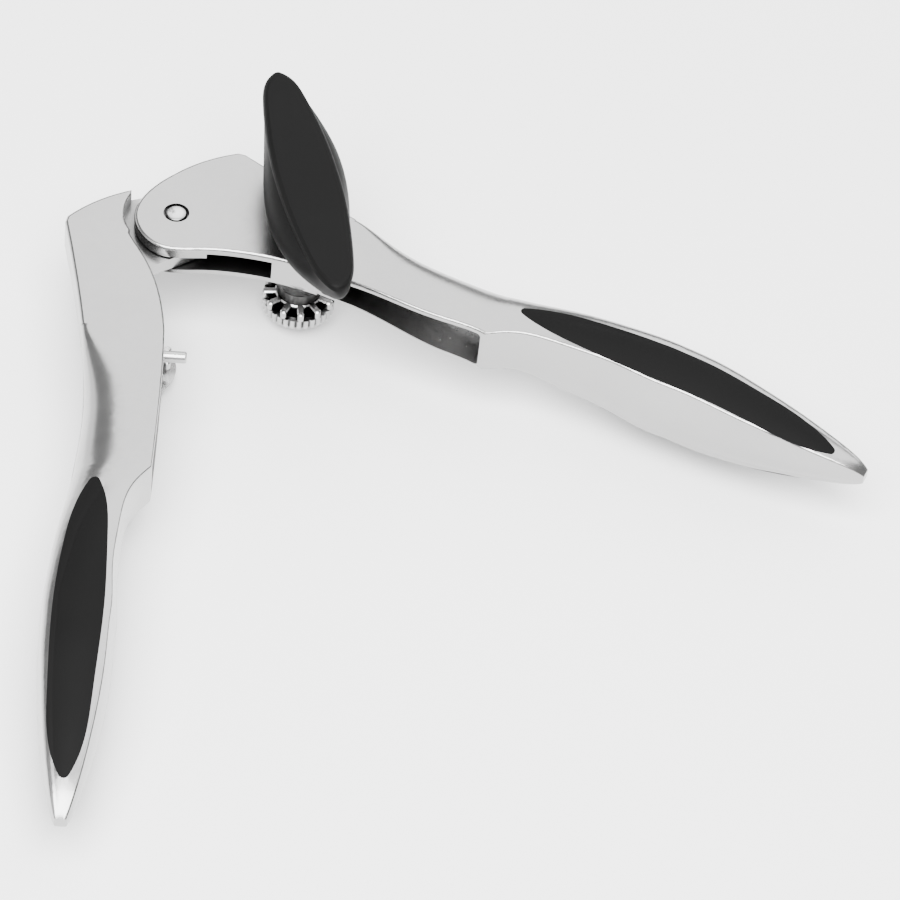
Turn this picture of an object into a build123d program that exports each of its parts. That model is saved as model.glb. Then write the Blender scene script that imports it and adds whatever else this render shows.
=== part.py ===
from build123d import *
from math import cos, radians, sin
import os

# Manual can opener: two die-cast handles that half-lap on one rivet.
# Each handle is drawn in its own frame, "closed frame": the pivot axis is the origin, "along" runs
# down the closing line from the pivot to the tips, "out" points away from the other handle, and
# "up" is height above the head's top face.  The row frame has +Z along the pivot, towards the knob.

# ---- placing in the row frame ----
HEAD_TOP = 27.4          # height of the heads' flat top face above the lowest point
PIVOT_X = 0.0            # pivot axis, left-right
PIVOT_Y = 66.067         # pivot axis, front-back
HALF_OPEN = 32.6         # degrees each handle stands away from the closing line at rest
KNOB_SIDE = 1            # the handle on +X, which carries the knob
CUTTER_SIDE = -1         # the handle on -X, which carries the cutting wheel
INNER_AT_NECK = {KNOB_SIDE: -0.3, CUTTER_SIDE: 0.6}       # the parting edge at the neck's start
INNER_AT_BOSS = {KNOB_SIDE: -1.1, CUTTER_SIDE: 3.2}
LEAF_SHIFT = {KNOB_SIDE: -0.5, CUTTER_SIDE: 0.7}          # inlays sit a little to one side

# ---- handle casting ----
HEAD_THICKNESS = 8.6
NOSE_RADIUS = 12.3       # round end of the knob handle's cheeks
NOSE_CUT = 13.0          # matching hollow in the other casting
EDGE_ROUND = 0.75
NECK_START = 40.0        # the flat head ends here and the shaped neck begins
STEP_AT = 85.2           # the step between neck and grip
NECK_OUTER = 20.9        # outer edge where the neck starts
CHEEK_TOP = 1.8          # thickness of the upper cheek away from the pivot
SLOT_TOP = 3.2           # fork slot, measured down from the top face
SLOT_BOTTOM = 7.4
TONGUE_TOP = 3.6
TONGUE_BOTTOM = 7.0
TONGUE_RADIUS = 10.5
WEB_START = 28.0         # the fork slot ends here, at the solid web round the shaft's boss
WEB_END = 41.0           # the neck's side pocket starts here
POCKET_END = 84.0
POCKET_DEPTH = 10.0
INLAY_DEPTH = 1.6
INLAY_REACH = 3.0        # the inlay cutters start this far above the head's top face
INLAY_SPLIT = 14.5       # and the lower one starts this far below the upper one

# ---- wheels and their axes ----
AXIS_ALONG = 31.5
AXIS_OUT = 8.0           # gear pitch radius: the two gears mesh when the handles are closed
BOSS_LENGTH = 13.4       # of the boss where it leaves the head; its nose is nearly round
BOSS_NOSE = 10.8
BOSS_FOOT_OUT = 14.0     # outer edge of the boss's foot
BOSS_BOTTOM = -15.5
COLLAR_RADIUS = 5.4
GEAR_TOP = -18.4
GEAR_THICKNESS = 2.2
GEAR_TEETH = 12
GEAR_ROOT = 6.1
GEAR_TIP = 9.35
TOOTH_HALF = 0.92        # half thickness of a tooth
GEAR_CHAMFER = 0.3
HUB_RADIUS = 3.2         # the cutter's hub inside its gear
HUB_FLANGE = 4.6
WHEEL_TOP = -20.8
WHEEL_BOTTOM = -23.5
WHEEL_RADIUS = 9.2
WHEEL_TEETH = 32
WHEEL_NOTCH = 0.85       # side of the square notch between two teeth
WHEEL_NOTCH_OUT = 0.1    # the notch's centre stands this far outside the rim
WHEEL_DISH = 0.8         # shallow ring sunk in the wheel's upper face
WHEEL_DISH_RADIUS = 7.7
CUTTER_TOP = -23.9
CUTTER_THICKNESS = 1.3
CUTTER_RADIUS = 10.5
CUTTER_EDGE = 0.12
CUTTER_BEVEL = 2.2
SHAFT_RADIUS = 2.5
BUSH_RADIUS = 3.6
RUNNING = 0.05           # radial clearance of a turning fit
SNUG = 0.02              # radial clearance of a pressed or splined fit
RIVET_RADIUS = 2.3
RIVET_SEAT = 3.25        # counterbore round the rivet's head
RIVET_HEAD = 1.3
RIVET_HEAD_RADIUS = 2.75
RIVET_FOOT = 1.1         # the head formed on the underside
RIVET_FOOT_RADIUS = 3.4
RIVET_WASHER = 0.7
SHIM = 0.3
SHIM_RADIUS = 6.5
WASHER_RADIUS = 4.4      # also the feed wheel's hub
BUSH_FLANGE = 0.6
BUSH_FLANGE_RADIUS = 4.6
BUSH_UPPER = 6.0         # lengths of the two bushings in the boss
BUSH_LOWER = 5.0
SHAFT_TOP = 15.0
SHAFT_RIVET = 1.5        # riveted end below the feed wheel
SHAFT_RIVET_RADIUS = 4.2
KNOB_WASHER_TOP = 1.35
KNOB_WASHER = 0.65
KNOB_WASHER_RADIUS = 5.6
AXLE_HEAD = 1.45
AXLE_HEAD_RADIUS = 3.8
AXLE_RADIUS = 2.2
AXLE_TOP = -5.5          # top of the cutter axle's blind seat in the boss
GAP = 0.1                # along an axis, between pieces that turn against each other
SPRING_WASHER = 0.55
AXLE_SHOULDER = CUTTER_TOP - CUTTER_THICKNESS - GAP - SPRING_WASHER - 0.1
RIVET_ROUND = 0.5
PIN_RADIUS = 1.45
PIN_ALONG = 45.2
PIN_UP = -4.5
PIN_SEAT = 6.0
PIN_REACH = 5.2

# ---- knob ----
KNOB_BOTTOM = 8.5
KNOB_TOP = 21.6
#   one long side of the knob, from tip to tip; the other side is the same after half a turn
KNOB_EDGE = [(38.4, 0.4), (36.2, -1.9), (28.8, -4.6), (22.1, -5.9), (15.5, -6.9), (8.9, -7.6),
             (2.5, -8.0), (-3.9, -8.2), (-10.1, -8.1), (-16.4, -7.7), (-22.5, -7.1), (-28.6, -6.3),
             (-34.4, -4.9), (-37.3, -3.0)]
KNOB_GIRTH = [(37.6, 1.5), (36.4, -0.3), (32.3, -3.4), (26.0, -6.8), (19.6, -8.9), (12.8, -10.2),
              (6.0, -10.6), (0.0, -10.4), (-5.7, -9.8), (-11.9, -8.8), (-18.2, -7.7), (-24.6, -6.6),
              (-31.0, -5.5), (-36.0, -3.7)]
#   height, outline, its length and width scales
KNOB_LEVELS = [(KNOB_BOTTOM, KNOB_GIRTH, 0.62, 0.74), (10.3, KNOB_GIRTH, 0.78, 0.9),
               (13.2, KNOB_GIRTH, 0.91, 1.0), (16.4, KNOB_GIRTH, 0.99, 0.985), (20.2, KNOB_EDGE, 1.0, 1.0)]
#   the soft edge of the top face: height, length and width scales
KNOB_RIM = [(20.2, 1.0, 1.0), (20.75, 0.996, 0.982), (21.15, 0.988, 0.95), (21.42, 0.974, 0.9),
            (KNOB_TOP, 0.95, 0.82)]
KNOB_TURN = 127.0        # degrees from the knob handle's own line, at rest
KNOB_NECK = 6.6
CORE_RADIUS = 4.2
CORE_BOTTOM = 1.5
CORE_TOP = 16.5


def along(side):
    """Unit vector from the pivot towards this handle's tip."""
    angle = radians(-90 + side * HALF_OPEN)
    return Vector(cos(angle), sin(angle), 0)


def out(side):
    """Unit vector from the closing line towards this handle's outer edge."""
    return Vector(0, 0, 1).cross(along(side)) * side


def spot(side, a, o, up):
    """A point of a handle's closed frame, in the row frame."""
    return Vector(PIVOT_X, PIVOT_Y, HEAD_TOP + up) + along(side) * a + out(side) * o


def plan(side, up, a=0.0, o=0.0):
    """Plane at one height: x runs along the handle, y runs outwards."""
    return Plane(origin=spot(side, a, o, up), x_dir=along(side), z_dir=(0, 0, side))


def level(side, up, a=0.0, o=0.0):
    """Horizontal plane whose normal points up, for turned pieces."""
    return Plane(origin=spot(side, a, o, up), x_dir=along(side), z_dir=(0, 0, 1))


def station(side, a):
    """Upright plane across the handle: x runs outwards, y runs up."""
    return Plane(origin=spot(side, a, 0, 0), x_dir=out(side), z_dir=out(side).cross(Vector(0, 0, 1)))


def elevation(side, o):
    """Upright plane along the handle: x runs along, y runs up."""
    return Plane(origin=spot(side, 0, o, 0), x_dir=along(side), z_dir=along(side).cross(Vector(0, 0, 1)))


def corner(start, knee, end):
    """One rounded corner or bulged side, as a quadratic curve."""
    Bezier(start, knee, end)


def section(a, inner, outer, top, bottom, round_out, drop_out, crown, bulge, low):
    """Closed outline of the handle at one station.

    inner and outer are the widest places of the two side walls, top and bottom the heights of the
    edges of the upper and lower faces.  round_out and drop_out size the soft outer shoulder, crown
    is the rise of the two faces, bulge the swell of the sides, low the rounding of the lower edges.
    """
    edge = EDGE_ROUND
    left = inner + bulge
    right = outer - bulge * 0.6
    middle = (top + bottom) / 2
    top_in = (left + edge, top)
    top_out = (right - round_out, top)
    side_out = (right, top - drop_out)
    low_out = (right, bottom + low)
    base_out = (right - low, bottom)
    base_in = (left + low, bottom)
    low_in = (left, bottom + low)
    side_in = (left, top - edge)
    with BuildLine() as edge:
        corner(top_in, ((top_in[0] + top_out[0]) / 2, top + 2 * crown), top_out)
        corner(top_out, (right, top), side_out)
        corner(side_out, (right + bulge * 1.2, middle), low_out)
        corner(low_out, (right, bottom), base_out)
        corner(base_out, ((base_in[0] + base_out[0]) / 2, bottom - 2 * crown), base_in)
        corner(base_in, (left, bottom), low_in)
        corner(low_in, (left - 2 * bulge, middle), side_in)
        corner(side_in, (left, top), top_in)
    make_face(edge.edges())


#   along, inner, outer, top, bottom, round_out, drop_out, crown, bulge, low
NECK = [
    (51.0, 0.3, 19.6, 0.0, -9.0, 6.4, 4.8, 0.03, 0.03, 1.1),
    (61.0, 0.35, 18.9, 0.0, -10.4, 9.6, 7.4, 0.03, 0.03, 1.3),
    (73.0, 0.6, 19.2, 0.0, -12.4, 11.0, 8.8, 0.03, 0.03, 1.4),
    (STEP_AT, 1.0, 20.1, 0.0, -13.4, 10.5, 8.8, 0.03, 0.03, 1.5),
]
GRIP = [
    NECK[-1],
    (88.2, 3.2, 20.5, 0.0, -13.7, 10.0, 8.2, 0.05, 0.1, 1.6),
    (92.0, 5.1, 20.9, 0.0, -14.2, 9.0, 7.0, 0.15, 0.3, 1.8),
    (98.0, 6.3, 21.8, 0.0, -15.5, 7.2, 5.6, 0.35, 0.6, 2.1),
    (108.0, 6.9, 23.1, 0.0, -17.5, 5.2, 4.2, 0.6, 0.9, 2.5),
    (120.0, 6.8, 24.0, 0.0, -19.2, 4.0, 3.2, 0.8, 1.1, 2.8),
    (132.0, 6.5, 24.2, -0.3, -20.1, 3.4, 2.8, 0.8, 1.2, 3.0),
    (145.0, 6.8, 23.6, -1.5, -20.3, 3.0, 2.5, 0.8, 1.2, 3.0),
    (157.0, 7.9, 22.4, -3.7, -19.3, 2.6, 2.1, 0.7, 1.1, 2.8),
    (168.5, 9.8, 20.6, -6.1, -17.5, 2.1, 1.7, 0.5, 0.8, 2.3),
    (176.5, 11.6, 18.9, -8.0, -16.0, 1.6, 1.4, 0.3, 0.5, 1.8),
    (180.8, 12.9, 17.7, -9.6, -14.9, 1.1, 1.0, 0.15, 0.3, 1.2),
    (182.8, 13.8, 16.8, -11.0, -13.8, 0.5, 0.5, 0.03, 0.1, 0.5),
]


def shifted(stations, rise):
    """The same stations, with both faces raised by rise."""
    return [(s[0], s[1], s[2], s[3] + rise, s[4] + rise, *s[5:]) for s in stations]


def skinned(side, stations):
    """Skin one run of stations into a solid."""
    with BuildPart() as run:
        for values in stations:
            with BuildSketch(station(side, values[0])):
                section(*values)
        loft()
    return run.part


def leaf():
    """Outline of the soft inlays: a long leaf with slightly rounded ends."""
    start = (88.0, 13.5)
    end = (175.6, 14.6)
    with BuildSketch() as shape:
        with BuildLine() as edge:
            Spline(start, (95, 10.7), (108, 9.25), (130, 8.65), (152, 9.6), (167.5, 11.3), end)
            Spline(end, (167.5, 18.3), (152, 20.1), (130, 20.6), (108, 19.2), (95, 16.7), start)
        make_face(edge.edges())
        fillet(shape.vertices(), 1.3)
    return shape.sketch


def inlay(side, grip, name, rise):
    """One soft inlay: the skin of the grip inside the leaf outline, on its upper or lower face."""
    start = INLAY_REACH if rise < 0 else INLAY_REACH - INLAY_SPLIT
    with BuildPart() as piece:
        with BuildSketch(plan(side, start, 0, LEAF_SHIFT[side])):
            add(leaf())
        extrude(amount=INLAY_SPLIT, dir=(0, 0, -1))
        add(grip, mode=Mode.INTERSECT)
        add(skinned(side, shifted(GRIP, rise)), mode=Mode.SUBTRACT)
    piece.part.label = name
    export_step(piece.part, f"parts/{name}.step")
    return piece.part


def head_back():
    """Head outline common to both castings: end edge, blunt corner, outer edge up to the neck."""
    Spline((-7.4, 11.6), (-2.6, 20.4), (3.4, 27.0))
    Line((3.4, 27.0), (5.4, 27.4))
    Spline((5.4, 27.4), (14.0, 25.6), (27.0, 23.1), (NECK_START, NECK_OUTER))


def knob_head():
    """Cheeks of the knob handle: they swing across the closing line round the pivot."""
    with BuildLine() as edge:
        head_back()
        Line((NECK_START, NECK_OUTER), (NECK_START, INNER_AT_NECK[KNOB_SIDE]))
        Spline((NECK_START, INNER_AT_NECK[KNOB_SIDE]), (29.0, -1.8), (19.4, -4.6), (11.0, -8.4),
               (2.1, -NOSE_RADIUS), (-5.2, -9.9), (-9.2, -4.9), (-10.0, 2.6), (-7.4, 11.6))
    make_face(edge.edges())


def cutter_head():
    """Head of the cutter handle, hollowed to clear the other handle's round nose."""
    with BuildLine() as edge:
        head_back()
        Line((NECK_START, NECK_OUTER), (NECK_START, INNER_AT_NECK[CUTTER_SIDE]))
        Spline((NECK_START, INNER_AT_NECK[CUTTER_SIDE]), (29.0, 2.3), (19.4, 5.3), (11.8, 9.2))
        Polyline((11.8, 9.2), (8.0, 11.2), (-7.4, 11.6))
    make_face(edge.edges())
    Circle(NOSE_CUT, mode=Mode.SUBTRACT)


def neck_stations(side):
    """The neck starts on the head's own end face."""
    inner = INNER_AT_NECK[side]
    start = (NECK_START, inner, NECK_OUTER, 0.0, -HEAD_THICKNESS, 1.6, 1.3, 0.03, 0.03, 1.0)
    second = (44.5, inner * 0.7, 20.35, 0.0, -8.7, 2.8, 2.2, 0.03, 0.03, 1.0)
    return [start, second] + NECK


def head_blank(side, outline):
    """Flat head with softened edges, up to the plane where the neck takes over."""
    with BuildPart() as head:
        with BuildSketch(plan(side, 0)):
            outline()
        extrude(amount=HEAD_THICKNESS, dir=(0, 0, -1))
        rim = head.faces().sort_by(Axis.Z)[-1].edges()
        fillet(rim.sort_by(Axis(spot(side, 0, 0, 0), along(side)))[:-1], EDGE_ROUND)
    return head.part


def boss(side):
    """Boss that carries a wheel axis below the head: a wide foot drawn in to a nearly round nose."""
    inner = INNER_AT_BOSS[side]
    foot = BOSS_FOOT_OUT - inner
    with BuildPart() as lump:
        with BuildSketch(plan(side, 0.5 - HEAD_THICKNESS, AXIS_ALONG, inner + foot / 2)):
            RectangleRounded(BOSS_LENGTH, foot, 3.0)
        with BuildSketch(plan(side, BOSS_BOTTOM, AXIS_ALONG, AXIS_OUT)):
            RectangleRounded(BOSS_NOSE, BOSS_NOSE, 5.0)
        loft()
        fillet(lump.faces().sort_by(Axis.Z)[0].edges(), EDGE_ROUND)
    return lump.part


def pocket(side, start):
    """Side pocket of the neck, open to the closing line, with thin plates above and below."""
    with BuildPart() as hollow:
        with BuildSketch(elevation(side, POCKET_DEPTH)):
            with BuildLine():
                FilletPolyline((start, -1.3), (POCKET_END, -1.3), (POCKET_END, -12.2), (73, -11.2),
                               (61, -9.3), (50, -7.8), (start, -7.3), radius=1.0, close=True)
            make_face()
        extrude(amount=POCKET_DEPTH + 6, dir=-out(side))
    return hollow.part


# ---- the two castings' solids, less the pieces set into them ----
os.makedirs("parts", exist_ok=True)
cutter_grip = skinned(CUTTER_SIDE, GRIP)
knob_grip = skinned(KNOB_SIDE, GRIP)

cutter_inlay_top = inlay(CUTTER_SIDE, cutter_grip, "cutter_grip_inlay_top", -INLAY_DEPTH)
cutter_inlay_bottom = inlay(CUTTER_SIDE, cutter_grip, "cutter_grip_inlay_bottom", INLAY_DEPTH)
knob_inlay_top = inlay(KNOB_SIDE, knob_grip, "knob_grip_inlay_top", -INLAY_DEPTH)
knob_inlay_bottom = inlay(KNOB_SIDE, knob_grip, "knob_grip_inlay_bottom", INLAY_DEPTH)


# ---- knob handle: fork head, neck, grip ----
with BuildPart() as knob_handle:
    add(head_blank(KNOB_SIDE, knob_head))
    add(skinned(KNOB_SIDE, neck_stations(KNOB_SIDE)))
    add(knob_grip)
    add(boss(KNOB_SIDE))
    # the fork slot that takes the other handle's tongue, over its whole swing
    with BuildSketch(plan(KNOB_SIDE, -SLOT_TOP)):
        Circle(TONGUE_RADIUS + 0.8)
        with BuildLine():
            Polyline((0, 0), (-6.0, 13.3), (-20, 13.3), (-20, -20), (WEB_START, -20), (WEB_START, 14),
                     (9.0, 14), (9.0, 0), close=True)
        make_face()
    extrude(amount=SLOT_BOTTOM - SLOT_TOP, dir=(0, 0, -1), mode=Mode.SUBTRACT)
    # beyond the hub the slot opens up towards a thinner upper cheek
    with BuildSketch(plan(KNOB_SIDE, -CHEEK_TOP)):
        with BuildLine():
            Polyline((12.6, -20), (WEB_START, -20), (WEB_START, 14), (12.6, 14), close=True)
        make_face()
    extrude(amount=SLOT_TOP - CHEEK_TOP + 0.5, dir=(0, 0, -1), mode=Mode.SUBTRACT)
    add(pocket(KNOB_SIDE, WEB_END), mode=Mode.SUBTRACT)
    with Locations(level(KNOB_SIDE, 0)):
        CounterBoreHole(RIVET_RADIUS + SNUG, RIVET_SEAT, RIVET_HEAD, HEAD_THICKNESS)
    with Locations(level(KNOB_SIDE, 0, AXIS_ALONG, AXIS_OUT)):
        Hole(BUSH_RADIUS + SNUG, -BOSS_BOTTOM)
    add(knob_inlay_top, mode=Mode.SUBTRACT)
    add(knob_inlay_bottom, mode=Mode.SUBTRACT)
knob_handle.part.label = "knob_handle_casting"
export_step(knob_handle.part, "parts/knob_handle_casting.step")


# ---- cutter handle: single tongue, neck, grip ----
with BuildPart() as cutter_handle:
    add(head_blank(CUTTER_SIDE, cutter_head))
    add(skinned(CUTTER_SIDE, neck_stations(CUTTER_SIDE)))
    add(cutter_grip)
    add(boss(CUTTER_SIDE))
    with BuildSketch(plan(CUTTER_SIDE, -TONGUE_TOP)):
        with BuildLine():
            Polyline((8.9, -5.6), (15.4, 4.6), (18.0, 9.0), (6.0, 17.0), (-6.6, 12.6), (-9.6, 4.2),
                     (0, 0), close=True)
        make_face()
        Circle(TONGUE_RADIUS)
    extrude(amount=TONGUE_BOTTOM - TONGUE_TOP, dir=(0, 0, -1))
    add(pocket(CUTTER_SIDE, PIN_ALONG + 3.0), mode=Mode.SUBTRACT)
    with Locations(level(CUTTER_SIDE, 0)):
        Hole(RIVET_RADIUS + RUNNING, HEAD_THICKNESS)
    # blind seat of the cutter's axle, from below
    with BuildSketch(level(CUTTER_SIDE, AXLE_TOP, AXIS_ALONG, AXIS_OUT)):
        Circle(AXLE_RADIUS + SNUG)
    extrude(amount=BOSS_BOTTOM - AXLE_TOP, mode=Mode.SUBTRACT)
    with Locations(Plane(origin=spot(CUTTER_SIDE, PIN_ALONG, -2, PIN_UP), z_dir=-out(CUTTER_SIDE))):
        Hole(PIN_RADIUS + SNUG, PIN_SEAT + 2)
    add(cutter_inlay_top, mode=Mode.SUBTRACT)
    add(cutter_inlay_bottom, mode=Mode.SUBTRACT)
cutter_handle.part.label = "cutter_handle_casting"
export_step(cutter_handle.part, "parts/cutter_handle_casting.step")


def turned(side, name, up, steps, a=AXIS_ALONG, o=AXIS_OUT, bore=0.0, soften=0.0):
    """A turned piece: discs stacked downwards from up, each (radius, thickness), with one bore."""
    with BuildPart() as piece:
        height = up
        for radius, thickness in steps:
            with BuildSketch(level(side, height, a, o)):
                Circle(radius)
            extrude(amount=-thickness)
            height -= thickness
        if soften:
            fillet(piece.faces().sort_by(Axis.Z)[0].edges(), soften)
            fillet(piece.faces().sort_by(Axis.Z)[-1].edges(), soften)
        if bore:
            with Locations(level(side, up, a, o)):
                Hole(bore, up - height)
    piece.part.label = name
    export_step(piece.part, f"parts/{name}.step")


def gear(side, name, bore, first_tooth):
    """Spur gear with narrow round-ended teeth; closed, its teeth fall between the other gear's."""
    with BuildPart() as piece:
        with BuildSketch(level(side, GEAR_TOP, AXIS_ALONG, AXIS_OUT)):
            Circle(GEAR_ROOT)
            with PolarLocations(0, GEAR_TEETH, start_angle=first_tooth):
                with Locations((GEAR_TIP / 2, 0)):
                    SlotOverall(GEAR_TIP, 2 * TOOTH_HALF)
        extrude(amount=-GEAR_THICKNESS)
        chamfer(piece.faces().sort_by(Axis.Z)[-1].edges(), GEAR_CHAMFER)
        with Locations(level(side, GEAR_TOP, AXIS_ALONG, AXIS_OUT)):
            Hole(bore, GEAR_THICKNESS)
    piece.part.label = name
    export_step(piece.part, f"parts/{name}.step")


# ---- pivot ----
turned(KNOB_SIDE, "pivot_rivet", 0.0,
       [(RIVET_HEAD_RADIUS, RIVET_HEAD),
        (RIVET_RADIUS, HEAD_THICKNESS - RIVET_HEAD + RIVET_WASHER),
        (RIVET_FOOT_RADIUS, RIVET_FOOT)],
       a=0, o=0, soften=RIVET_ROUND)
turned(KNOB_SIDE, "pivot_rivet_washer", -HEAD_THICKNESS, [(WASHER_RADIUS, RIVET_WASHER)],
       a=0, o=0, bore=RIVET_RADIUS + SNUG)
turned(KNOB_SIDE, "pivot_shim_upper", -SLOT_TOP, [(SHIM_RADIUS, SHIM)], a=0, o=0,
       bore=RIVET_RADIUS + SNUG)
turned(KNOB_SIDE, "pivot_shim_lower", -SLOT_BOTTOM + SHIM, [(SHIM_RADIUS, SHIM)], a=0, o=0,
       bore=RIVET_RADIUS + SNUG)

# ---- knob shaft line ----
turned(KNOB_SIDE, "shaft_bushing_upper", BUSH_FLANGE,
       [(BUSH_FLANGE_RADIUS, BUSH_FLANGE), (BUSH_RADIUS, BUSH_UPPER)],
       bore=SHAFT_RADIUS + RUNNING)
turned(KNOB_SIDE, "shaft_bushing_lower", BOSS_BOTTOM + BUSH_LOWER, [(BUSH_RADIUS, BUSH_LOWER)],
       bore=SHAFT_RADIUS + RUNNING)
turned(KNOB_SIDE, "drive_shaft", SHAFT_TOP, [(SHAFT_RADIUS, SHAFT_TOP - WHEEL_BOTTOM)])
turned(KNOB_SIDE, "thrust_collar", BOSS_BOTTOM - GAP, [(COLLAR_RADIUS, BOSS_BOTTOM - GAP - GEAR_TOP)],
       bore=SHAFT_RADIUS + SNUG)
turned(KNOB_SIDE, "knob_washer", KNOB_WASHER_TOP, [(KNOB_WASHER_RADIUS, KNOB_WASHER)],
       bore=SHAFT_RADIUS + SNUG)
turned(KNOB_SIDE, "feed_wheel_rivet_head", WHEEL_BOTTOM, [(SHAFT_RIVET_RADIUS, SHAFT_RIVET)],
       soften=RIVET_ROUND)
gear(KNOB_SIDE, "drive_gear", SHAFT_RADIUS + SNUG, 0)

# ---- cutter axle line ----
turned(CUTTER_SIDE, "cutter_axle", AXLE_TOP, [(AXLE_RADIUS, AXLE_TOP - AXLE_SHOULDER)])
turned(CUTTER_SIDE, "cutter_spacer", BOSS_BOTTOM, [(COLLAR_RADIUS, BOSS_BOTTOM - GEAR_TOP - GAP)],
       bore=AXLE_RADIUS + SNUG)
gear(CUTTER_SIDE, "driven_gear", HUB_RADIUS + SNUG, 180 / GEAR_TEETH)
turned(CUTTER_SIDE, "cutter_hub", GEAR_TOP, [(HUB_RADIUS, GEAR_THICKNESS),
                                            (HUB_FLANGE, GEAR_TOP - GEAR_THICKNESS - CUTTER_TOP)],
       bore=AXLE_RADIUS + RUNNING)
turned(CUTTER_SIDE, "cutter_spring_washer", AXLE_SHOULDER + SPRING_WASHER,
       [(WASHER_RADIUS, SPRING_WASHER)], bore=AXLE_RADIUS + SNUG)
turned(CUTTER_SIDE, "cutter_axle_head", AXLE_SHOULDER, [(AXLE_HEAD_RADIUS, AXLE_HEAD)], soften=RIVET_ROUND)

with BuildPart() as cutting_wheel:
    with BuildSketch(elevation(CUTTER_SIDE, AXIS_OUT)):
        with BuildLine():
            Polyline((AXIS_ALONG + AXLE_RADIUS + RUNNING, CUTTER_TOP),
                     (AXIS_ALONG + CUTTER_RADIUS, CUTTER_TOP),
                     (AXIS_ALONG + CUTTER_RADIUS, CUTTER_TOP - CUTTER_EDGE),
                     (AXIS_ALONG + CUTTER_RADIUS - CUTTER_BEVEL, CUTTER_TOP - CUTTER_THICKNESS),
                     (AXIS_ALONG + AXLE_RADIUS + RUNNING, CUTTER_TOP - CUTTER_THICKNESS), close=True)
        make_face()
    revolve(axis=Axis(spot(CUTTER_SIDE, AXIS_ALONG, AXIS_OUT, 0), (0, 0, 1)))
cutting_wheel.part.label = "cutting_wheel"
export_step(cutting_wheel.part, "parts/cutting_wheel.step")

with BuildPart() as feed_wheel:
    with BuildSketch(level(KNOB_SIDE, WHEEL_TOP, AXIS_ALONG, AXIS_OUT)):
        Circle(WHEEL_RADIUS)
        with PolarLocations(WHEEL_RADIUS + WHEEL_NOTCH_OUT, WHEEL_TEETH):
            Rectangle(WHEEL_NOTCH, WHEEL_NOTCH, rotation=45, mode=Mode.SUBTRACT)
    extrude(amount=WHEEL_BOTTOM - WHEEL_TOP)
    with BuildSketch(level(KNOB_SIDE, WHEEL_TOP, AXIS_ALONG, AXIS_OUT)):
        Circle(WHEEL_DISH_RADIUS)
        Circle(WASHER_RADIUS, mode=Mode.SUBTRACT)
    extrude(amount=-WHEEL_DISH, mode=Mode.SUBTRACT)
    # hub that spaces the wheel off the gear
    with BuildSketch(level(KNOB_SIDE, WHEEL_TOP, AXIS_ALONG, AXIS_OUT)):
        Circle(WASHER_RADIUS)
    extrude(amount=GEAR_TOP - GEAR_THICKNESS - WHEEL_TOP)
    with Locations(level(KNOB_SIDE, GEAR_TOP - GEAR_THICKNESS, AXIS_ALONG, AXIS_OUT)):
        Hole(SHAFT_RADIUS + SNUG, 5)
feed_wheel.part.label = "feed_wheel"
export_step(feed_wheel.part, "parts/feed_wheel.step")


def knob_plane(up):
    """Plane across the shaft with x along the knob's length."""
    base = level(KNOB_SIDE, up, AXIS_ALONG, AXIS_OUT)
    return base.rotated((0, 0, KNOB_TURN))


def knob_outline(side_points, length, width):
    """Closed outline through one side's points and the same points after half a turn."""
    half = [(x * length, y * width) for x, y in side_points]
    other = [(-x, -y) for x, y in half]
    with BuildLine() as edge:
        Spline(*half, *other, periodic=True)
    make_face(edge.edges())


with BuildPart() as knob:
    for height, side_points, length, width in KNOB_LEVELS:
        with BuildSketch(knob_plane(height)):
            knob_outline(side_points, length, width)
    loft()
    for height, length, width in KNOB_RIM:
        with BuildSketch(knob_plane(height)):
            knob_outline(KNOB_EDGE, length, width)
    loft(ruled=True)
    with BuildSketch(level(KNOB_SIDE, CORE_BOTTOM, AXIS_ALONG, AXIS_OUT)):
        Circle(KNOB_NECK)
    extrude(amount=KNOB_BOTTOM - CORE_BOTTOM + 1.0)
    with BuildSketch(level(KNOB_SIDE, CORE_BOTTOM, AXIS_ALONG, AXIS_OUT)):
        Circle(CORE_RADIUS + SNUG)
    extrude(amount=CORE_TOP - CORE_BOTTOM, mode=Mode.SUBTRACT)
knob.part.label = "knob_body"
export_step(knob.part, "parts/knob_body.step")

turned(KNOB_SIDE, "knob_core", CORE_TOP, [(CORE_RADIUS, CORE_TOP - CORE_BOTTOM)],
       bore=SHAFT_RADIUS + SNUG)

with BuildPart() as pin:
    with BuildSketch(Plane(origin=spot(CUTTER_SIDE, PIN_ALONG, -PIN_REACH, PIN_UP),
                           z_dir=out(CUTTER_SIDE))):
        Circle(PIN_RADIUS)
    extrude(amount=PIN_REACH + PIN_SEAT)
    fillet(pin.faces().sort_by(Axis(spot(CUTTER_SIDE, 0, 0, 0), out(CUTTER_SIDE)))[0].edges(), 0.5)
pin.part.label = "locating_pin"
export_step(pin.part, "parts/locating_pin.step")
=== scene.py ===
import math

import bpy
from mathutils import Matrix, Vector


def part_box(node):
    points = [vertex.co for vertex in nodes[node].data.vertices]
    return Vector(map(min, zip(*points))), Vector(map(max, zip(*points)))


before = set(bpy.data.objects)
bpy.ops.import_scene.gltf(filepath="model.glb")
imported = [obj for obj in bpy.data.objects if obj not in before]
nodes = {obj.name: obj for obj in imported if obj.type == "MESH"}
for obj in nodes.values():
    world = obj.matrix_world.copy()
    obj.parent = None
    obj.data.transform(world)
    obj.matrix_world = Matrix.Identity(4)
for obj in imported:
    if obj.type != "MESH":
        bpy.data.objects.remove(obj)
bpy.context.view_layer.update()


# ---------------------------------------------------------------- places taken from the frame
def middle(node):
    low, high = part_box(node)
    return (Vector(low) + Vector(high)) / 2


def top(node):
    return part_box(node)[1][2]


pivot = middle("pivot_rivet")
shaft = middle("drive_shaft")
axle = middle("cutter_axle")


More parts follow.
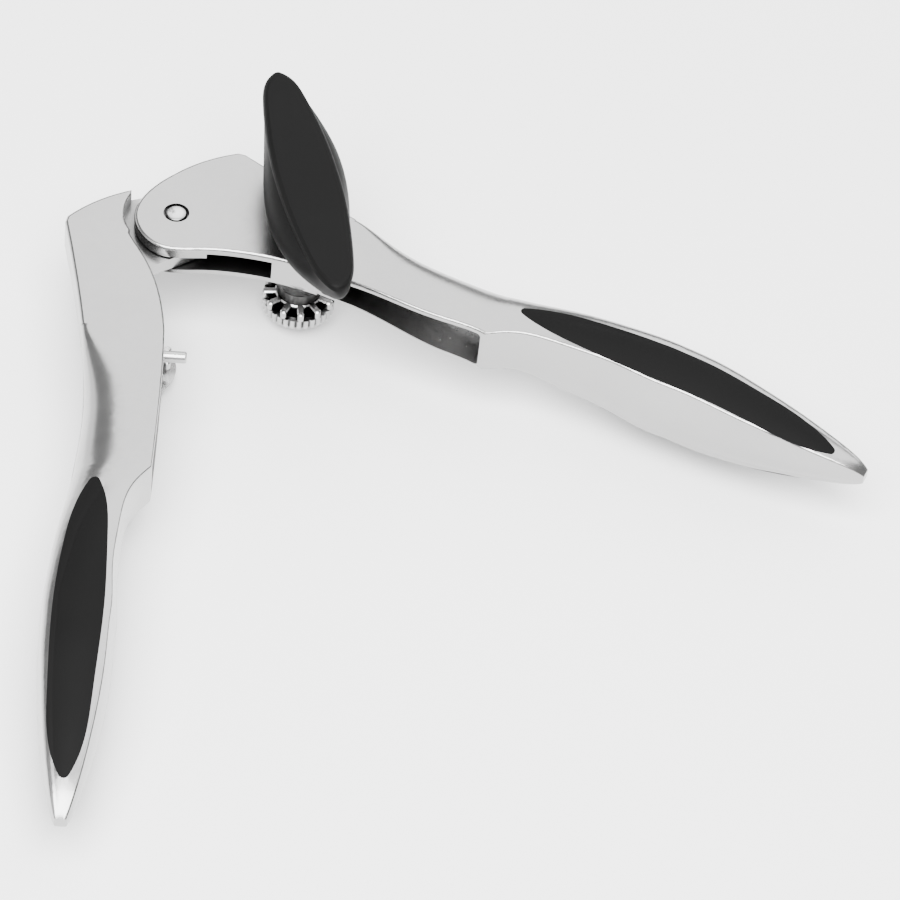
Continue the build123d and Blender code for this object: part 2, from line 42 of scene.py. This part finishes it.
# ---------------------------------------------------------------- materials
def new_material(name):
    mat = bpy.data.materials.new(name)
    mat.use_nodes = True
    tree = mat.node_tree
    shader = tree.nodes["Principled BSDF"]
    return mat, tree, shader


def coordinates(tree, origin=(0, 0, 0)):
    """Object coordinates in metres, measured from origin."""
    place = tree.nodes.new("ShaderNodeTexCoord")
    move = tree.nodes.new("ShaderNodeMapping")
    move.inputs["Location"].default_value = [-value for value in origin]
    tree.links.new(place.outputs["Object"], move.inputs["Vector"])
    return move.outputs["Vector"]


def noise(tree, vector, scale, detail=3.0, roughness=0.55):
    """A cloudy value. scale is about how many blotches fit in a metre."""
    tex = tree.nodes.new("ShaderNodeTexNoise")
    tex.inputs["Scale"].default_value = scale
    tex.inputs["Detail"].default_value = detail
    tex.inputs["Roughness"].default_value = roughness
    tree.links.new(vector, tex.inputs["Vector"])
    return tex.outputs["Fac"]


def rings(tree, vector, scale, distortion):
    """Concentric turning marks round the local Z axis."""
    tex = tree.nodes.new("ShaderNodeTexWave")
    tex.wave_type = "RINGS"
    tex.rings_direction = "Z"
    tex.inputs["Scale"].default_value = scale
    tex.inputs["Distortion"].default_value = distortion
    tex.inputs["Detail"].default_value = 1.0
    tree.links.new(vector, tex.inputs["Vector"])
    return tex.outputs["Fac"]


def ramp(tree, fac, stops):
    """Colours a value; stops are (value, colour) pairs in rising order."""
    node = tree.nodes.new("ShaderNodeValToRGB")
    elements = node.color_ramp.elements
    while len(elements) < len(stops):
        elements.new(0.5)
    for element, (at, colour) in zip(elements, stops):
        element.position = at
        element.color = (*colour, 1)
    tree.links.new(fac, node.inputs["Fac"])
    return node.outputs["Color"]


def spread(tree, fac, low, high, start=0.3, end=0.7):
    """Maps a texture value onto a range."""
    node = tree.nodes.new("ShaderNodeMapRange")
    node.inputs["From Min"].default_value = start
    node.inputs["From Max"].default_value = end
    node.inputs["To Min"].default_value = low
    node.inputs["To Max"].default_value = high
    tree.links.new(fac, node.inputs["Value"])
    return node.outputs["Result"]


def mixed(tree, first, second, weight):
    """first and second are texture values; weight is how much of second."""
    node = tree.nodes.new("ShaderNodeMix")
    node.inputs["Factor"].default_value = weight
    tree.links.new(first, node.inputs["A"])
    tree.links.new(second, node.inputs["B"])
    return node.outputs["Result"]


def bump(tree, shader, height, strength, depth):
    """Fine relief; depth is in metres."""
    node = tree.nodes.new("ShaderNodeBump")
    node.inputs["Strength"].default_value = strength
    node.inputs["Distance"].default_value = depth
    tree.links.new(height, node.inputs["Height"])
    tree.links.new(node.outputs["Normal"], shader.inputs["Normal"])


def painted_recess_shade(tree, colour, reach, dark, start=0.30, end=0.72):
    """Painted shade: darkens a colour in pockets and narrow gaps, where shade falls.

    reach is how near, in metres, a facing surface has to be; dark is the grey at full cover, and
    start and end are the openness at which the darkening is full and gone.
    """
    cover = tree.nodes.new("ShaderNodeAmbientOcclusion")
    cover.inputs["Distance"].default_value = reach
    cover.samples = 8
    shade = tree.nodes.new("ShaderNodeMix")
    shade.data_type = "RGBA"
    shade.inputs["A"].default_value = (*grey(dark), 1)
    tree.links.new(spread(tree, cover.outputs["AO"], 0.0, 1.0, start, end), shade.inputs["Factor"])
    tree.links.new(colour, shade.inputs["B"])
    return shade.outputs["Result"]


def grey(value, warm=0.0):
    return (value + warm, value, value - warm)


def cast_metal(name, base):
    """Bead-blasted die casting with a satin finish."""
    mat, tree, shader = new_material(name)
    at = coordinates(tree)
    cloud = noise(tree, at, 38, 4)
    grain = noise(tree, at, 2600, 2, 0.6)
    shader.inputs["Metallic"].default_value = 1.0
    colour = ramp(tree, mixed(tree, cloud, grain, 0.35),
                  [(0.30, grey(base * 0.93)), (0.52, grey(base, 0.002)), (0.75, grey(base * 1.06))])
    # painted shade: the casting's colour is darkened in pockets and narrow gaps, where shade falls
    tree.links.new(painted_recess_shade(tree, colour, reach=0.010, dark=0.13), shader.inputs["Base Color"])
    handling = mixed(tree, cloud, noise(tree, at, 420, 3), 0.5)
    tree.links.new(spread(tree, handling, 0.21, 0.28), shader.inputs["Roughness"])
    blasting = mixed(tree, grain, noise(tree, at, 900, 2), 0.3)
    bump(tree, shader, blasting, strength=0.12, depth=0.00002)
    return mat


def turned_metal(name, centre, base, rough, marks=0.35, pitch=1500):
    """Machined or polished steel with fine rings round its own axis.

    marks is how strong the rings are, pitch how close together.
    """
    mat, tree, shader = new_material(name)
    at = coordinates(tree, centre)
    circles = rings(tree, at, pitch, distortion=0.4)
    cloud = noise(tree, at, 160, 4)
    fleck = noise(tree, at, 1500, 2)
    shader.inputs["Metallic"].default_value = 1.0
    colour = ramp(tree, mixed(tree, cloud, fleck, 0.4),
                  [(0.3, grey(base * 0.86, 0.002)), (0.55, grey(base)), (0.8, grey(base * 1.08))])
    tree.links.new(colour, shader.inputs["Base Color"])
    tree.links.new(spread(tree, mixed(tree, cloud, circles, 0.35), rough * 0.75, rough * 1.35),
                   shader.inputs["Roughness"])
    bump(tree, shader, mixed(tree, circles, fleck, 0.45), strength=marks, depth=0.00003)
    return mat


def gear_metal(name, centre):
    """Plated sintered steel: painted shade makes it dark between the teeth, leaving the teeth bright."""
    mat, tree, shader = new_material(name)
    at = coordinates(tree, centre)
    cloud = noise(tree, at, 260, 4)
    fleck = noise(tree, at, 1800, 2)
    shader.inputs["Metallic"].default_value = 1.0
    colour = ramp(tree, mixed(tree, cloud, fleck, 0.4),
                  [(0.3, grey(0.36, 0.002)), (0.55, grey(0.5)), (0.8, grey(0.62))])
    # painted shade: the colour is darkened almost to black between the teeth and in narrow gaps, where
    # shade falls
    shaded = painted_recess_shade(tree, colour, reach=0.004, dark=0.015, start=0.42, end=0.86)
    tree.links.new(shaded, shader.inputs["Base Color"])
    tree.links.new(spread(tree, cloud, 0.12, 0.24), shader.inputs["Roughness"])
    bump(tree, shader, mixed(tree, cloud, fleck, 0.5), strength=0.4, depth=0.00005)
    return mat


def rivet_painted_dome_light(name, centre, seat=0.0034):
    """A domed rivet end, seat metres out: polished, its colour a painted highlight on the crown fading
    to painted shade towards the rim of its seat.
    """
    mat, tree, shader = new_material(name)
    at = coordinates(tree, centre)
    flat = tree.nodes.new("ShaderNodeVectorMath")
    flat.operation = "MULTIPLY"
    flat.inputs[1].default_value = (1, 1, 0)
    tree.links.new(at, flat.inputs[0])
    radius = tree.nodes.new("ShaderNodeVectorMath")
    radius.operation = "LENGTH"
    tree.links.new(flat.outputs["Vector"], radius.inputs[0])
    outward = spread(tree, radius.outputs["Value"], 0.0, 1.0, start=0.0, end=seat)
    # painted highlight on the crown, fading to painted shade where the dome falls towards the rim of its
    # seat
    colour = ramp(tree, outward, [(0.0, grey(0.72)), (0.45, grey(0.62)), (0.66, grey(0.3)),
                                  (0.76, grey(0.07)), (0.84, grey(0.02))])
    tree.links.new(colour, shader.inputs["Base Color"])
    shader.inputs["Metallic"].default_value = 1.0
    tree.links.new(spread(tree, noise(tree, at, 700, 3), 0.12, 0.26), shader.inputs["Roughness"])
    uneven = mixed(tree, outward, noise(tree, at, 420, 2), 0.18)
    dome = spread(tree, uneven, 1.0, 0.0, start=0.0, end=1.0)
    bump(tree, shader, dome, strength=0.7, depth=0.0007)
    return mat


def soft_black(name, base, rough, pore_scale, strength, shine):
    """Rubber or moulded plastic: pores and cloudy, handled patches."""
    mat, tree, shader = new_material(name)
    at = coordinates(tree)
    cloud = noise(tree, at, 55, 5, 0.6)
    pores = noise(tree, at, pore_scale, 3, 0.65)
    colour = ramp(tree, mixed(tree, cloud, pores, 0.45),
                  [(0.3, grey(base * 0.8)), (0.52, grey(base)), (0.78, grey(base * 1.35, 0.0001))])
    tree.links.new(colour, shader.inputs["Base Color"])
    tree.links.new(spread(tree, mixed(tree, cloud, pores, 0.3), rough - 0.06, rough + 0.07),
                   shader.inputs["Roughness"])
    shader.inputs["Specular IOR Level"].default_value = shine
    bump(tree, shader, pores, strength, depth=0.00003)
    return mat


casting = cast_metal("satin_casting", base=0.37)
bright_shaft = turned_metal("bright_shaft", shaft, base=0.46, rough=0.2)
bright_axle = turned_metal("bright_axle", axle, base=0.46, rough=0.2)
pivot_painted_dome_light = rivet_painted_dome_light("pivot_painted_dome_light", pivot)
drive_teeth = gear_metal("drive_teeth", shaft)
driven_teeth = gear_metal("driven_teeth", axle)
dark_shaft = turned_metal("dark_shaft", shaft, base=0.06, rough=0.34, marks=0.1)
dark_axle = turned_metal("dark_axle", axle, base=0.08, rough=0.34, marks=0.1)
dark_pivot = turned_metal("dark_pivot", pivot, base=0.05, rough=0.36)
blade = turned_metal("ground_blade", axle, base=0.5, rough=0.14, marks=0.5, pitch=2600)
pin_metal = turned_metal("pin_metal", middle("locating_pin"), base=0.44, rough=0.24, marks=0.2)
rubber = soft_black("inlay_rubber", base=0.0019, rough=0.64, pore_scale=1500, strength=0.3, shine=0.09)
plastic = soft_black("knob_plastic", base=0.0019, rough=0.56, pore_scale=1900, strength=0.22, shine=0.09)

FINISH = {
    "knob_handle_casting": casting,
    "cutter_handle_casting": casting,
    "knob_grip_inlay_top": rubber,
    "knob_grip_inlay_bottom": rubber,
    "cutter_grip_inlay_top": rubber,
    "cutter_grip_inlay_bottom": rubber,
    "knob_body": plastic,
    "knob_core": dark_shaft,
    "knob_washer": bright_shaft,
    "drive_shaft": bright_shaft,
    "thrust_collar": dark_shaft,
    "shaft_bushing_upper": dark_shaft,
    "shaft_bushing_lower": dark_shaft,
    "drive_gear": drive_teeth,
    "feed_wheel": drive_teeth,
    "feed_wheel_rivet_head": bright_shaft,
    "pivot_rivet": pivot_painted_dome_light,
    "pivot_rivet_washer": dark_pivot,
    "pivot_shim_upper": dark_pivot,
    "pivot_shim_lower": dark_pivot,
    "cutter_axle": dark_axle,
    "cutter_axle_head": bright_axle,
    "cutter_spacer": dark_axle,
    "cutter_spring_washer": bright_axle,
    "driven_gear": driven_teeth,
    "cutter_hub": bright_axle,
    "cutting_wheel": blade,
    "locating_pin": pin_metal,
}
for name, node in nodes.items():
    node.data.materials.clear()
    node.data.materials.append(FINISH[name])


# ---------------------------------------------------------------- floor and surroundings
FLOOR_HALF = 6.0          # half the floor's side, in metres
FLOOR_HEIGHT = -0.0003    # just under the object, so that the two faces don't coincide
SURROUND = 0.40           # strength of the even light from all round


def floor_material():
    mat, tree, shader = new_material("pale_floor")
    at = coordinates(tree)
    colour = ramp(tree, noise(tree, at, 3, 2), [(0.3, grey(0.90)), (0.7, grey(0.93))])
    tree.links.new(colour, shader.inputs["Base Color"])
    shader.inputs["Roughness"].default_value = 0.9
    shader.inputs["Specular IOR Level"].default_value = 0.1
    return mat


def sheet_mesh(name, half, height):
    """A level square sheet, centred under the object."""
    mesh = bpy.data.meshes.new(name)
    mesh.from_pydata([(-half, -half, height), (half, -half, height), (half, half, height),
                      (-half, half, height)], [], [(0, 1, 2, 3)])
    obj = bpy.data.objects.new(name, mesh)
    bpy.context.scene.collection.objects.link(obj)
    return obj


floor = sheet_mesh("floor", FLOOR_HALF, FLOOR_HEIGHT)
floor.data.materials.append(floor_material())


world = bpy.data.worlds.new("studio")
world.use_nodes = True
world.node_tree.nodes["Background"].inputs["Color"].default_value = (1, 1, 1, 1)
world.node_tree.nodes["Background"].inputs["Strength"].default_value = SURROUND
bpy.context.scene.world = world


# ---------------------------------------------------------------- camera
TILT = math.radians(47.7254)     # how far it looks down
ROLL = math.radians(6.7854)
TURN = math.radians(-36.80)      # about the vertical; 0 looks along +Y
DISTANCE = 1.1                   # metres from the rivet's head, along the view
RIGHT_OF_AXIS = -0.0684          # where the rivet's head is seen from the middle of the frame,
BELOW_AXIS = -0.05935            # in metres at that distance
LENS = 176.0
SENSOR = 36.0

ahead = Vector((0, math.cos(TILT), -math.sin(TILT)))
right = Vector((1, 0, 0))
down = Vector((0, -math.sin(TILT), -math.cos(TILT)))
right_rolled = math.cos(ROLL) * right - math.sin(ROLL) * down
down_rolled = math.sin(ROLL) * right + math.cos(ROLL) * down
turn = Matrix.Rotation(TURN, 3, "Z")
ahead, right_rolled, down_rolled = turn @ ahead, turn @ right_rolled, turn @ down_rolled
pivot_top = Vector((pivot.x, pivot.y, top("pivot_rivet")))
eye = pivot_top - (RIGHT_OF_AXIS * right_rolled + BELOW_AXIS * down_rolled + DISTANCE * ahead)

camera_data = bpy.data.cameras.new("camera")
camera_data.lens = LENS
camera_data.sensor_width = SENSOR
camera_data.clip_start = 0.05
camera = bpy.data.objects.new("camera", camera_data)
facing = Matrix((right_rolled, -down_rolled, -ahead)).transposed()
camera.matrix_world = Matrix.Translation(eye) @ facing.to_4x4()
bpy.context.scene.collection.objects.link(camera)
bpy.context.scene.camera = camera


# ---------------------------------------------------------------- lights, placed from the camera's side
far_side = Vector((ahead.x, ahead.y, 0)).normalized()
right_side = Vector((right_rolled.x, right_rolled.y, 0)).normalized()
centre = Vector((0, 0.01, 0.02))    # near the middle of the object


def softbox(name, around, height, distance, width, depth, radiance):
    """A large soft light that faces the object.

    around is how many degrees it stands from the far side towards the camera's left, height its
    degrees above the floor; distance, width and depth are in metres.
    """
    turn_away = math.radians(around)
    lift = math.radians(height)
    flat = far_side * math.cos(turn_away) - right_side * math.sin(turn_away)
    place = centre + distance * (flat * math.cos(lift) + Vector((0, 0, math.sin(lift))))
    data = bpy.data.lights.new(name, "AREA")
    data.shape = "RECTANGLE"
    data.size = width
    data.size_y = depth
    data.energy = radiance * math.pi * width * depth
    obj = bpy.data.objects.new(name, data)
    obj.location = place
    obj.rotation_euler = (centre - place).to_track_quat("-Z", "Y").to_euler()
    bpy.context.scene.collection.objects.link(obj)


# far is what the level metal faces mirror, low edges the shoulders, top lights the floor
softbox("far", around=-23, height=50, distance=2.2, width=2.5, depth=2.1, radiance=3.8)
softbox("low", around=52, height=9, distance=1.8, width=1.8, depth=0.7, radiance=2.2)
softbox("top", around=178, height=66, distance=1.7, width=1.7, depth=1.5, radiance=18.5)
softbox("left", around=104, height=30, distance=1.6, width=0.8, depth=1.2, radiance=1.6)
